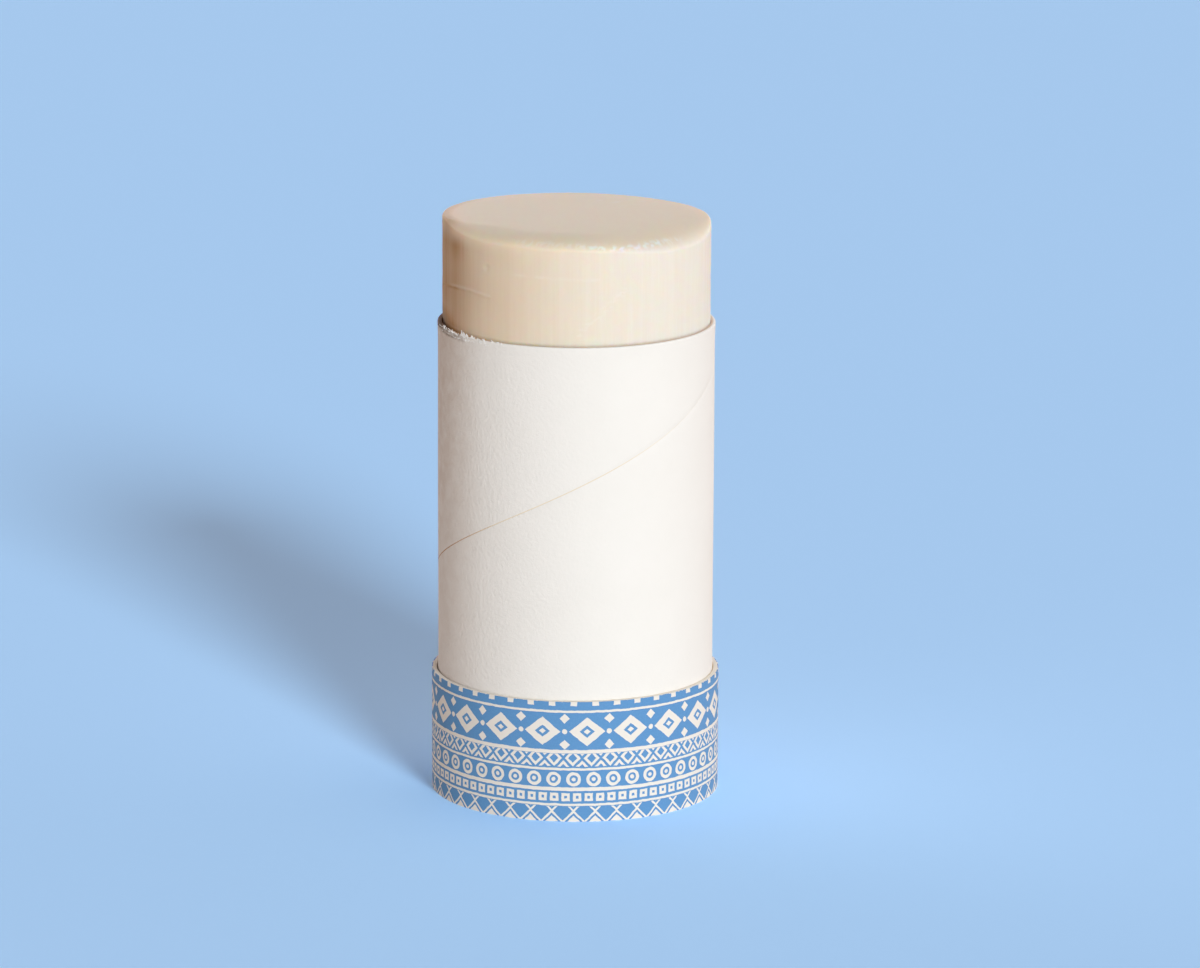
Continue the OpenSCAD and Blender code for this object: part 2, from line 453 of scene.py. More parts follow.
strip_w = seam_pitch - seam_w
strip_low = seam_left_z - 2.5 * seam_pitch
strip_mid = strip_low + seam_pitch / 2
bpy.ops.mesh.primitive_plane_add(size=strip_w, location=(tube_r, 0, strip_mid), rotation=(0, TURN / 4, 0))
tube = bpy.context.object
bpy.ops.object.transform_apply(location=True, rotation=True)
edit(tube)
pick("VERT", lambda p: p.y < 0)
bpy.ops.mesh.delete(type="VERT")
pick("VERT", lambda p: True)
bpy.ops.transform.translate(value=(0, -strip_w / 2, 0))
bpy.ops.mesh.subdivide(number_cuts=STRIP_ROWS - 1)
for way_up in (1, -1):
    pick("VERT", lambda p: (p.z - strip_mid) * way_up > strip_w / 2 - HAIR)
    bpy.ops.mesh.extrude_region_move(TRANSFORM_OT_translate={"value": (-seam_depth, 0, way_up * seam_w / 2)})
tube = done("spiral_tube")

wind = tube.modifiers.new("wind", "SCREW")
wind.axis, wind.angle, wind.screw_offset = "Z", TURN, seam_pitch
wind.steps = wind.render_steps = SIDES
wind.iterations = 4
bpy.ops.object.modifier_apply(modifier="wind")
edit(tube)
bpy.ops.mesh.select_all(action="SELECT")
bpy.ops.mesh.remove_doubles(threshold=0.005 * MM)
print("wound wall:", len(tube.data.polygons), "faces")

# %% [markdown]
# The long spiral is cut square at the foot and near the rim. The cuts get a tiny threshold, as the usual one
# would leave near points off the plane. The last stretch up to the rim gets closer rings, so that there are
# points enough for the torn ply, and each ring is turned by what the seam climbs. From there the edge is
# drawn round the rim's soft outer corner, inwards over the board's thickness, down the bore, and round the
# curl that turns the foot inwards. Each step extrudes the loop, scales it about the axis and moves it along.

# %% Cut, rim, bore and curl
curl_r = 1.3 * MM
curl_in_r = curl_r - tube_wall
curl_mid_r = tube_r - curl_r
rim_soft = 0.22 * MM
rim_flat_r = [tube_r - 0.32 * MM, tube_r - 0.42 * MM]
rim_bevel = 0.06 * MM
TORN_RINGS = (2.0, 1.75, 1.55, 1.38, 1.22, 1.07, 0.93, 0.79, 0.66, 0.54, 0.45, 0.37, 0.30, 0.22)


def draw_loop(path, twist=0):
    """Extrudes the selected loop through (radius, height) places, the first being where it is."""
    for (r0, z0), (r1, z1) in zip(path, path[1:]):
        bpy.ops.mesh.extrude_region_move(TRANSFORM_OT_translate={"value": (0, 0, z1 - z0)})
        bpy.ops.transform.resize(value=(r1 / r0, r1 / r0, 1), center_override=(0, 0, 0))
        if twist:
            bpy.ops.transform.rotate(value=-twist * (z1 - z0), orient_axis="Z", center_override=(0, 0, 0))


def arc(middle_r, middle_z, r, start, end, steps):
    """Places on an arc of a section, between two directions in degrees."""
    spots = [math.radians(start + (end - start) * i / steps) for i in range(steps + 1)]
    return [(middle_r + r * math.cos(a), middle_z + r * math.sin(a)) for a in spots]


for cut_z, away in ((foot_z + curl_r, -1), (rim_z - TORN_RINGS[0] * MM, 1)):
    bpy.ops.mesh.select_all(action="SELECT")
    bpy.ops.mesh.bisect(plane_co=(0, 0, cut_z), plane_no=(0, 0, away), clear_outer=True,
                        threshold=0.1 * HAIR)
draw_loop([(tube_r, rim_z - below * MM) for below in TORN_RINGS], TURN / seam_pitch)
rim_path = arc(tube_r - rim_soft, rim_z - rim_soft, rim_soft, 0, 90, 4)
rim_path += [(r, rim_z) for r in rim_flat_r + [bore_r + rim_bevel]]
rim_path += [(bore_r + 0.3 * rim_bevel, rim_z - 0.7 * rim_bevel), (bore_r, rim_z - 2 * rim_bevel),
             (bore_r, rim_z / 2), (bore_r, foot_z + curl_r)]
curl_path = arc(curl_mid_r, foot_z + curl_r, curl_in_r, 0, -270, 12)[1:]
curl_path += arc(curl_mid_r, foot_z + curl_r, curl_r - press_in, -270, -15, 15)
draw_loop(rim_path + curl_path)
bpy.ops.mesh.select_all(action="DESELECT")
bpy.ops.mesh.select_mode(type="EDGE")
bpy.ops.mesh.select_non_manifold()
bpy.ops.mesh.bridge_edge_loops()
turn_outward()
bpy.ops.mesh.select_all(action="DESELECT")
bpy.ops.mesh.select_non_manifold()
work = bmesh.from_edit_mesh(tube.data)
print("open edges left in the tube:", sum(e.select for e in work.edges))
done()

# %% [markdown]
# Real board isn't quite true. The wall waves by a few hundredths of a millimetre, the sawn rim has spread a
# little, and the part under the glued band is pressed in. The seam is open at the left and its edges meet
# again towards the right, so its V closes with the distance that it has climbed. The V would also go on down
# the bore as a ridge, so the bore's points are drawn back to its radius. At the left front the outer ply is
# torn at the rim: the rim's outer corner is ragged, the ply below it has come loose and stands out a little,
# and a crease shows where it still holds.

# %% Shape the wall
rim_spread_h = 3 * MM
wave = 0.03 * MM
tear_from, tear_to = 183, 224
tear_depth = 0.5 * MM
crease_depth = 0.2 * MM
loose = 0.24 * MM
raised = 0.3 * MM
seam_shut = 0.25
seam_close_turn = 100
ply_t = 0.28 * MM
ply_edge = 0.3 * MM
rim_nibble = 0.03 * MM


def above_seam(p):
    """Height of a point above the nearest turn of the seam."""
    turns = (p.z - seam_left_z) / seam_pitch - (azimuth(p) - 180) / 360
    return (turns - round(turns)) * seam_pitch


def seam_open(p):
    """How open the seam is at a point near it, by the degrees that it has climbed from the left side."""
    turns = round((p.z - seam_left_z) / seam_pitch - (azimuth(p) - 180) / 360)
    climbed = abs(azimuth(p) - 180 + 360 * turns)
    half_turn = math.pi * min(climbed / seam_close_turn, 1)
    return seam_shut + (1 - seam_shut) * (0.5 + 0.5 * math.cos(half_turn))


def torn_share(p):
    """1 where the outer ply is torn, fading to 0 at both ends of the tear."""
    return smooth(tear_from, tear_from + 6, azimuth(p)) * (1 - smooth(tear_to - 12, tear_to, azimuth(p)))


def ragged(p):
    """How far the torn edge has gone at a direction, from 0 to about 1, with coarse and fine teeth."""
    coarse = noise.noise(Vector((azimuth(p) * 0.35, 7.0, 0)))
    return max(0.45 + 0.9 * coarse + 0.45 * noise.noise(Vector((azimuth(p) * 1.1, 3.0, 0))), 0)


def crease(p):
    """1 in the crease at the lower edge of the torn ply, and 0 a little beside it."""
    crease_z = rim_z - (0.4 + 0.4 * smooth(187, 203, azimuth(p))) * MM
    wander = 0.12 * MM * noise.noise(Vector((azimuth(p) * 0.45, 8.0, 0)))
    return torn_share(p) * bell(p.z, crease_z + wander, 0.12 * MM) * (1 - smooth(205, 215, azimuth(p)))


def loosened(p):
    """How far the torn ply stands out at a point, less the crease at its lower edge."""
    fibres = 0.6 + 1.4 * noise.noise(Vector((azimuth(p) * 0.8, 2.0, p.z / (0.35 * MM))))
    lifted = loose * fibres * smooth(rim_z - 0.8 * MM, rim_z - 0.2 * MM, p.z)
    return torn_share(p) * lifted - crease_depth * crease(p)


dirty, frayed_by = [], []
for v in tube.data.vertices:
    p = v.co
    r, z = radius(p), p.z
    outer = r > tube_r - ply_t and z > rim_z - (TORN_RINGS[0] + 0.05) * MM
    in_ply = smooth(tube_r - ply_edge, tube_r - rim_soft, r)
    patchy_dirt = 0.35 + 1.1 * noise.noise(Vector((azimuth(p) * 0.5, 6.0, 0)))
    # The crease's darker tone is dirt and painted shade in its groove.
    dirty.append(min(max(crease(p) * patchy_dirt, 0), 1) if outer else 0.0)
    frayed_by.append(torn_share(p) * smooth(rim_z - 1.1 * MM, rim_z - 0.7 * MM, z) if outer else 0.0)
    if r < bore_r and z > foot_z + curl_r - HAIR:
        v.co = Vector((p.x * bore_r / r, p.y * bore_r / r, z))
    if r < seat_r - seam_depth - 0.01 * MM and z < rim_z - 0.5 * MM:
        continue
    if z < band_top - mouth_h - 0.2 * MM:
        shift = -press_in
    else:
        shift = wave * noise.noise(Vector((p.x, p.y, 0.6 * p.z)) / (13 * MM))
        shift *= smooth(band_top - mouth_h, band_top + mouth_h, z)
        if r < tube_r - 0.01 * MM and z < rim_z - 0.5 * MM:
            shift += seam_depth * (1 - seam_open(p))
    if z > rim_z - rim_spread_h:
        grown = smooth(rim_z - rim_spread_h, rim_z, z) * (0.7 + 0.3 * noise.noise(p / (9 * MM)))
        shift += rim_flare * grown * smooth(bore_r, tube_r, r)
    drop = 0
    if outer:
        shift += loosened(p) * in_ply
        near_rim = smooth(rim_z - 0.5 * MM, rim_z - rim_soft, z)
        drop = tear_depth * torn_share(p) * ragged(p) * in_ply * near_rim
        drop += rim_nibble * near_rim * noise.noise(Vector((azimuth(p) * 0.9, 0, r / (0.3 * MM))))
        at_edge = smooth(rim_z - 0.8 * MM, rim_z, z) * smooth(tube_r - ply_edge, tube_r, r)
        drop -= raised * torn_share(p) * at_edge
    scale = (r + shift) / r
    v.co = Vector((p.x * scale, p.y * scale, z - drop))

carry(tube, dirt=dirty, fray=frayed_by)
tube.data.materials.append(white_board)
tube.data.materials.append(glue_line)
for face in tube.data.polygons:
    on_wall = band_top - mouth_h < face.center.z < rim_z and radius(face.center) > bore_r + 0.3 * MM
    if on_wall and abs(above_seam(face.center)) < 0.5 * seam_w:
        face.material_index = 1
bpy.ops.object.shade_smooth_by_angle(angle=math.radians(32))
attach(tube, "tube")
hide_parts("inner_tube")
print("seam faces:", sum(f.material_index for f in tube.data.polygons))

# %% [markdown]
# The torn ply leaves shreds on the rim. Each is a small flake of paper: a narrow plane, extruded twice while
# it narrows and bends, with a little thickness. One flake is modelled, and copies of it are turned, scaled
# and set along the tear, the larger ones in a tuft near its end. The copies are then joined into one piece.

# %% Shreds on the torn rim
random.seed(11)
flake_l, flake_w, flake_t = 0.55 * MM, 0.34 * MM, 0.06 * MM
SHREDS, IN_TUFT, tuft_turn = 110, 10, 214
bpy.ops.mesh.primitive_plane_add(size=flake_w, location=(0, 0, 0))
flake = bpy.context.object
edit(flake)
for part in range(3):
    pick("EDGE", lambda p: p.y > flake_w / 2 + part * flake_l / 3 - 0.01 * MM)
    bend = (0.03 * MM, flake_l / 3, 0.06 * MM * part)
    bpy.ops.mesh.extrude_region_move(TRANSFORM_OT_translate={"value": bend})
    bpy.ops.transform.resize(value=(0.62, 1, 1))
flake = done("torn_flake")
thicken(flake, flake_t, 0)

shreds = []
for number in range(SHREDS):
    tuft = number < IN_TUFT
    spread = (tear_from + 3, tear_to + 14, tear_to - 8)
    where = math.radians(random.gauss(tuft_turn, 1.4) if tuft else random.triangular(*spread))
    copy = bpy.data.objects.new("torn_flake", flake.data.copy())
    bpy.context.scene.collection.objects.link(copy)
    size = random.uniform(0.7, 1.3) if tuft else random.uniform(0.35, 1.0)
    stand = (Matrix.Rotation(where + TURN / 4, 4, "Z") @ Matrix.Rotation(random.uniform(0.5, 2.2), 4, "X")
             @ Matrix.Rotation(random.uniform(-1.3, 1.3), 4, "Z") @ Matrix.Scale(size, 4))
    foot = Vector((math.cos(where), math.sin(where), 0)) * (tube_r + random.uniform(-0.1, 0.12) * MM)
    foot.z = rim_z - random.uniform(-0.1, 0.9 if tuft else 0.65) * MM
    copy.data.transform(Matrix.Translation(foot) @ stand)
    shreds.append(copy)
bpy.data.objects.remove(flake)
bpy.ops.object.select_all(action="DESELECT")
for copy in shreds:
    copy.select_set(True)
bpy.context.view_layer.objects.active = shreds[0]
bpy.ops.object.join()
torn = bpy.context.object
torn.name = torn.data.name = "torn_shreds"
torn.data.materials.append(torn_fibre)
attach(torn, "tube")
print("shreds:", len(torn.data.polygons), "faces")

# %% [markdown]
# Balm. It was cast in the tube, so its side is a true cylinder, and use has worn its top to a slope with a
# soft edge. A disc of points is added at its foot and drawn up to the edge, round it and in to the middle.
# The side that shows is then cut into fine rows, so that there is enough mesh for dents and wear.

# %% Turn the balm
BALM_SIDES = 420
SHOW_ROWS = 84
EDGE_STEPS = 14
edge_even = 1.2 * MM
show_from = rim_z - 1.5 * MM
edge_mid_r = balm_r - edge_even
edge_low = balm_top - edge_even

bpy.ops.mesh.primitive_circle_add(vertices=BALM_SIDES, radius=balm_r, location=(0, 0, 0), fill_type="NGON")
balm = bpy.context.object
edit(balm)
pick("FACE", lambda p: True)
bpy.ops.transform.translate(value=(0, 0, balm_foot))
shares = (0.97, 0.93, 0.88, 0.82, 0.75, 0.67, 0.58, 0.49, 0.4, 0.31, 0.22, 0.13, 0.05)
draw_loop([(balm_r, balm_foot), (balm_r, show_from), (balm_r, edge_low)]
          + arc(edge_mid_r, edge_low, edge_even, 0, 90, EDGE_STEPS)[1:]
          + [(edge_mid_r * share, balm_top) for share in shares])
pick("EDGE", lambda p: show_from - 0.1 * MM < p.z < edge_low + HAIR and radius(p) > edge_mid_r)
work = bmesh.from_edit_mesh(balm.data)
for e in work.edges:
    if e.select and abs(e.verts[0].co.z - e.verts[1].co.z) < 1 * MM:
        e.select_set(False)
bmesh.update_edit_mesh(balm.data)
bpy.ops.mesh.subdivide(number_cuts=SHOW_ROWS - 1)
turn_outward()
balm = done("cast_balm")
print("balm:", len(balm.data.polygons), "faces")

# %% [markdown]
# Wear. Every point of the even shape knows where it is on the section, so it can be moved to where it is on
# the worn one: the slope is down to the back right, a flat is worn on it at the front right, the edge is
# crisp at the back and rounded off broadly at the front, where it slopes further in than down, and the top
# is a little crowned with shallow swirls.

# %% Wear the balm's top
top_tilt = math.radians(1.1)
low_turn = math.radians(45)
edge_crisp = 0.3 * MM
worn_in, worn_down = 6.0 * MM, 2.0 * MM
worn_turn, worn_from, worn_full = -85, 0.5, 0.85
flat_turn, flat_tilt = math.radians(-42), math.radians(6)
flat_in, flat_soft = 13 * MM, 1.5 * MM
top_crown = 0.15 * MM
top_level = balm_top + 0.01 * MM


def edge_size(turn):
    """How far the edge's rounding goes in and down, in a direction given in degrees."""
    toward = 0.5 + 0.5 * math.cos(math.radians(turn - worn_turn))
    uneven = noise.noise(Vector((math.cos(math.radians(turn)), math.sin(math.radians(turn)), 0)) * 2.2)
    share = smooth(worn_from, worn_full, toward) * (1 + 0.15 * uneven)
    return [edge_crisp + (worn - edge_crisp) * share for worn in (worn_in, worn_down)]


def worn_top(x, y):
    """Height of the worn top: sloped, with its flat, crowned and faintly swirled."""
    down = balm_r + x * math.cos(low_turn) + y * math.sin(low_turn)
    past = x * math.cos(flat_turn) + y * math.sin(flat_turn) - flat_in
    flat = math.tan(flat_tilt) * (past + math.hypot(past, flat_soft)) / 2
    crown = top_crown * (1 - (x * x + y * y) / balm_r ** 2)
    swirl = 0.05 * MM * noise.noise(Vector((x, 2.2 * y, 0)) / (9 * MM))
    return top_level - math.tan(top_tilt) * down - flat + crown + swirl


for v in balm.data.vertices:
    p = v.co
    if p.z < show_from - 0.1 * MM:
        continue
    turn, r = azimuth(p), radius(p)
    x, y = math.cos(math.radians(turn)), math.sin(math.radians(turn))
    size_in, size_down = edge_size(turn)
    if r < edge_mid_r + HAIR:
        new_r = r / edge_mid_r * (balm_r - size_in)
        new_z = worn_top(new_r * x, new_r * y)
    elif p.z > edge_low + HAIR:
        bend = math.atan2(p.z - edge_low, r - edge_mid_r)
        new_r = balm_r - size_in * (1 - math.cos(bend))
        new_z = worn_top(new_r * x, new_r * y) - size_down * (1 - math.sin(bend))
    else:
        lip = worn_top(balm_r * x, balm_r * y) - size_down
        new_r = balm_r
        new_z = show_from + (p.z - show_from) / (edge_low - show_from) * (lip - show_from)
    v.co = Vector((new_r * x, new_r * y, new_z))
highest = max(v.co.z for v in balm.data.vertices)
print("balm's top at %.2f mm, CAD %.2f mm" % (highest / MM, balm_top / MM))

# %% [markdown]
# Marks on the balm. The side keeps the cast shape, with faint upright ripples from the bore. A nail
# has scored it low on the left and dented it a little higher, crumbs stick to the right, and the worn
# edge has a broken line of white flecks: scuffs, with painted highlight standing in for glints. The rim
# has scraped up a thin ring of wax. Nothing stands out by more than half the running gap, so the balm
# still slides in its bore. Each point also gets two numbers for the finish: how white it is, from scuffs
# and painted glints, and how brown. The brown is painted shade: most on the left side, which is in
# shade, and where the balm meets the rim, with a little in the score line and a patch on the left. It
# fades down to its clean foot. Above 1 it goes on to a dark painted contact shade low on the far left,
# at the rim.

# %% Mark the balm
score_path = [(186, 86.0), (204, 86.65), (216, 86.8), (228, 86.35)]
fleck_path = [(238, 96.3), (265, 96.0), (275, 95.7), (286, 95.4), (300, 95.4), (312, 95.45), (328, 95.2)]
fleck_share = [(238, 0.0), (246, 0.35), (262, 0.25), (274, 0.6), (281, 1.0), (309, 1.0), (328, 0.0)]
slant_path = [(268, 81.2), (273, 83.1), (286, 87.8), (289, 88.6)]
brown_share = [(130, 0.0), (178, 0.8), (190, 0.97), (203, 0.95), (210, 0.6), (217, 0.32), (232, 0.16),
               (249, 0.06), (268, 0.0)]
scrape_path = [(238, 90.9), (253, 90.7), (277, 90.4)]
nail_dents = [(226, 1.3, 91.4, 0.5, 0.20), (193, 4, 92.6, 0.6, 0.12)]
ripple, lump, score_deep, lip_high = 0.02 * MM, 0.04 * MM, 0.13 * MM, 0.05 * MM
crumb_high, crumb_turn, crumb_z = 0.5 * MM, 356, 91.5 * MM
fleck_deep, squeezed, ring_high = 0.12 * MM, 0.14 * MM, 0.05 * MM
running_gap = bore_r - balm_r


def along(path, at):
    """Value of a path of (turn, value) spots at a turn, straight from spot to spot, and 0 outside it."""
    for (at0, value0), (at1, value1) in zip(path, path[1:]):
        if at0 <= at <= at1:
            return value0 + (value1 - value0) * (at - at0) / (at1 - at0)
    return 0.0


scuffed, browned = [], []
for v in balm.data.vertices:
    p = v.co
    r, turn = radius(p), azimuth(p)
    left = bell(turn, 185, 40)
    side = smooth(0.9 * balm_r, 0.98 * balm_r, r) * smooth(rim_z - 0.5 * MM, rim_z + 1.0 * MM, p.z)
    ripples = ripple * noise.noise(Vector((turn * 0.9, 1.7, p.z / (22 * MM))))
    lumps = lump * noise.noise(p / (3.2 * MM))
    worn_off = (1 - 0.7 * smooth(200, 212, turn)) * (0.8 + 0.8 * noise.noise(Vector((turn * 0.4, 5, 0))))
    score = bell(p.z, along(score_path, turn) * MM, 0.2 * MM) * worn_off
    lip = bell(p.z, along(score_path, turn) * MM + 0.42 * MM, 0.25 * MM)
    dents = score_deep * score - lip_high * lip * smooth(180, 190, turn)
    for at, wide, z, high, deep_mm in nail_dents:
        dents += deep_mm * MM * bell(turn, at, wide) * bell(p.z, z * MM, high * MM)
    crumbs = crumb_high * max(noise.noise(p / (0.6 * MM)) - 0.1, 0) * bell(turn, crumb_turn, 12)
    crumbs *= bell(p.z, crumb_z, 2.5 * MM)
    # White flecks on the worn edge: scuffs, and painted highlight standing in for glints.
    flecks_and_glints = bell(p.z, along(fleck_path, turn) * MM, 0.34 * MM) * along(fleck_share, turn)
    broken = smooth(-0.05, 0.2, noise.noise(Vector((turn * 0.6, 4.0, p.z / (0.5 * MM)))))
    rough = fleck_deep * flecks_and_glints * noise.noise(Vector((turn * 0.9, 9.0, p.z / (0.4 * MM))))
    tight = squeezed * bell(turn, 190, 28) * (1 - smooth(rim_z, rim_z + 1.5 * MM, p.z))
    tight *= smooth(show_from, rim_z - 0.5 * MM, p.z)
    scraped_up = bell(p.z, rim_z, 0.3 * MM) * (1 - left)
    inward = side * (ripples + lumps + dents) + tight + rough - ring_high * scraped_up
    inward = max(inward - side * crumbs, -0.5 * running_gap)
    scale = (r - inward) / r
    slant = 0.16 * bell(p.z, along(slant_path, turn) * MM, 0.9 * MM)
    faint = 0.5 * max(noise.noise(Vector((p.x, p.y, 0)) / (1.6 * MM)) - 0.15, 0) * bell(r, 15.5 * MM, 4 * MM)
    faint *= bell(turn, 60, 22) * smooth(balm_top - 2 * MM, balm_top - 1.2 * MM, p.z)
    thin = max(0.5 + noise.noise(Vector((turn * 0.22, 1.0, 0))), 0)
    scrape = 0.22 * bell(p.z, along(scrape_path, turn) * MM, 0.25 * MM) * thin
    scrape += 0.16 * lip * smooth(196, 204, turn)
    scuffed.append(min((flecks_and_glints + slant) * broken + scrape + faint, 1))
    blotch = 0.95 + 0.3 * noise.noise(Vector((turn / 16, 0, p.z / (6 * MM))))
    blotch *= 1 - (0.3 + 0.55 * smooth(194, 206, turn)) * smooth(93.5 * MM, 96.3 * MM, p.z)
    patch = 0.1 * bell(turn, 205, 9) * bell(p.z, 94.4 * MM, 2.6 * MM) * side
    # Painted shade where the balm meets the rim, deepest and highest on the left, and along the scraped-up
    # ring.
    rim_shade = (0.12 + 0.88 * left) * (1 - smooth(rim_z + 0.1 * MM, rim_z + (0.5 + 0.9 * left) * MM, p.z))
    rim_shade = max(rim_shade, 0.45 * scraped_up) * smooth(balm_foot, show_from, p.z)
    # Painted contact shade low on the far left at the rim, added above 1 so that it turns dark.
    foot_contact_shade = bell(turn, 182, 15) * (1 - smooth(rim_z + 0.3 * MM, rim_z + 4 * MM, p.z))
    foot_contact_shade *= smooth(balm_foot, show_from, p.z)
    # Painted shade: brown on the left side, which is in shade, with a patch there and a little in the score
    # line.
    left_shade_and_marks = along(brown_share, turn) * blotch * side + patch + 0.3 * score
    browned.append(min(max(left_shade_and_marks, rim_shade), 1) + foot_contact_shade)
    v.co = Vector((p.x * scale, p.y * scale, p.z))
carry(balm, scuff=scuffed, brown=browned)
print("scuffed points:", sum(value > 0.3 for value in scuffed))

bpy.ops.object.shade_smooth()
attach(balm, "stick")
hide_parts("deodorant_stick")

# %% [markdown]
# Wax. The balm is fat and wax, pale and a little see-through: light goes in, spreads a few millimetres and
# comes out warmer. Subsurface scattering gives that. Its skin has fine upright streaks from sliding in the
# bore, and soft clouds. The streaks are noise stretched along the axis, and they also break up the gloss.
# The left side is painted yellower and the right whiter: painted shade on the left, and painted light
# on the right, which faces the key. The worn top is painted lighter and pinker, partly fresh wax and
# partly painted light, as it gets less light than the side. The brown painted shade and the white scuffs
# with their painted glints follow the two numbers that the points carry.

# %% Balm material
streak_size, wax_cloud, skin_grain = 0.9 * MM, 7 * MM, 0.35 * MM
light_reach = 1.7 * MM

wax, tree, place = new_material("balm_wax")
stretched = add(tree, "VectorMath", [place, [1, 1, 0.03]], operation="MULTIPLY")
streaks = add(tree, "TexNoise", {"Vector": stretched, "Scale": 1 / streak_size, "Detail": 4.0,
                                 "Roughness": 0.7})
cloudy = add(tree, "TexNoise", {"Vector": place, "Scale": 1 / wax_cloud, "Detail": 3.0})
# Painted shade and light: yellower on the left, which is in shade, whiter on the right, which faces the key.
shaded_left_tone = add(tree, "Mix", {"Factor": cloudy, "A": "#f6e9d6", "B": "#f2e2cc"})
lit_right_tone = add(tree, "Mix", {"Factor": cloudy, "A": "#f6f1e9", "B": "#f2ebe1"})
parts = add(tree, "SeparateXYZ", [place]).outputs
toward_lit_right = add(tree, "MapRange", [parts["X"], -0.6 * balm_r, 0.4 * balm_r])
streaky = add(tree, "MapRange", [streaks, 0.35, 0.75, 0.0, 0.25])
# The worn top is painted lighter and pinker: partly fresh wax, partly painted light, as it gets less light.
top_tone_and_light = add(tree, "MapRange", [parts["Z"], balm_top - 2.6 * MM, balm_top - 1.4 * MM])
# The brown number is painted shade on the left and at the rim; above 1 it is a dark painted contact shade.
brown = add(tree, "Attribute", attribute_name="brown").outputs["Fac"]
ribbed = add(tree, "MapRange", [streaks, 0.3, 0.7, 0.87, 1.06])
browned_by = add(tree, "Math", [brown, ribbed], operation="MULTIPLY", use_clamp=True)
# A dark painted contact shade where the brown number goes above 1.
dark_contact_shade = add(tree, "MapRange", [brown, 1.0, 2.0])
# White scuffs, with the painted glints of the worn edge's flecks.
scuff = add(tree, "Attribute", attribute_name="scuff").outputs["Fac"]
tone = layered(tree, shaded_left_tone, (toward_lit_right, lit_right_tone), (streaky, "#e8d8c0"), (top_tone_and_light, "#f8e7d0"),
               (browned_by, "#bb8f60"), (dark_contact_shade, "#5d4733"), (scuff, "#ffffff"))
fine = add(tree, "TexNoise", {"Vector": place, "Scale": 1 / skin_grain, "Detail": 3.0})
relief = add(tree, "Math", [fine, 0.5, streaks], operation="MULTIPLY_ADD")
bump = add(tree, "Bump", {"Height": relief, "Strength": 0.5, "Distance": 0.03 * MM})
gloss = add(tree, "MapRange", [streaks, 0.3, 0.7, 0.48, 0.62])
face = add(tree, "BsdfPrincipled", {
    "Base Color": tone, "Roughness": gloss, "IOR": 1.44, "Normal": bump,
    "Subsurface Weight": 1.0, "Subsurface Radius": [1.0, 0.55, 0.3], "Subsurface Scale": light_reach})
surface(tree, face)
balm.data.materials.append(wax)

# %% [markdown]
# Band. A short tube of heavier board is glued round the foot. Its saw-cut top edge is bare, creamy and a
# little rough, and the cut has sprung its mouth open by a hair on the left. Inside the mouth the board is
# painted tan, darkening to brown on the left, as painted shade in the gap.
# A ring of points is drawn round the section and closed on itself.

# %% Board of the band
BAND_SIDES = 240
mouth_gap = 0.16 * MM
mouth_shift = -0.1 * MM
mouth_hug = 0.13 * MM
cut_soft = 0.1 * MM
cut_low, cut_rough, ply_size = 0.03 * MM, 0.05 * MM, 0.22 * MM
mouth_r = tube_r + mouth_gap
mouth_low = band_top - mouth_h

bpy.ops.mesh.primitive_circle_add(vertices=BAND_SIDES, radius=band_r, location=(0, 0, 0))
band = bpy.context.object
edit(band)
pick("VERT", lambda p: True)
bpy.ops.transform.translate(value=(0, 0, foot_z))
draw_loop([(band_r, foot_z), (band_r, band_top - cut_soft),
           (band_r - 0.3 * cut_soft, band_top - 0.3 * cut_soft), (band_r - cut_soft, band_top),
           (band_r - 0.35 * MM, band_top), (band_r - 0.6 * MM, band_top), (mouth_r + cut_soft, band_top),
           (mouth_r + 0.3 * cut_soft, band_top - 0.3 * cut_soft), (mouth_r, band_top - cut_soft),
           (mouth_r, band_top - 1 * MM), (mouth_r, mouth_low), (seat_r, mouth_low), (seat_r, foot_z)])
pick("EDGE", lambda p: p.z < foot_z + HAIR)
bpy.ops.mesh.bridge_edge_loops()
turn_outward()
band = done("band_board_ring")
for v in band.data.vertices:
    p = v.co
    if p.z < mouth_low + 0.01 * MM:
        continue
    if radius(p) < mouth_r + 0.05 * MM:
        sprung = smooth(mouth_low, band_top, p.z)
        hug = 1 - mouth_hug * bell(azimuth(p), 270, 50) * sprung / radius(p)
        p.x, p.y = p.x * hug + mouth_shift * sprung, p.y * hug
    if p.z > band_top - 0.2 * MM:
        rough = cut_rough * noise.noise(Vector((azimuth(p) * 0.8, 5, radius(p) / (0.4 * MM))))
        p.z -= cut_low + rough
bpy.ops.object.shade_smooth_by_angle(angle=math.radians(40))
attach(band, "tube")
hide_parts("base_sleeve")

cut_board, tree, place = new_material("cut_board_edge")
plies = add(tree, "CombineXYZ", {"X": from_axis(tree, place)})
layers = add(tree, "TexNoise", {"Vector": plies, "Scale": 1 / ply_size, "Detail": 2.0})
bare = add(tree, "Mix", {"Factor": layers, "A": "#fbf8f2", "B": "#e9dfd0"})
# Inside the mouth: painted tan, darkening to brown on the left, as painted shade in the gap.
inside = add(tree, "MapRange", [from_axis(tree, place), mouth_r + 0.02 * MM, mouth_r + 0.1 * MM, 1.0, 0.0])
across = add(tree, "SeparateXYZ", [place]).outputs["X"]
gap_shade_leftward = add(tree, "MapRange", [across, -0.95 * tube_r, -0.5 * tube_r])
gap_shade = add(tree, "Mix", {"Factor": gap_shade_leftward, "A": "#8f7355", "B": "#e2cfb3"})
tone = layered(tree, bare, (inside, gap_shade))
face = add(tree, "BsdfPrincipled", {"Base Color": tone, "Roughness": 0.85, "Specular IOR Level": 0.2,
                                    "Normal": pulp_grain(tree, place, 0.25, 0.05 * MM)})
surface(tree, face)
band.data.materials.append(cut_board)
print("band:", len(band.data.polygons), "faces")

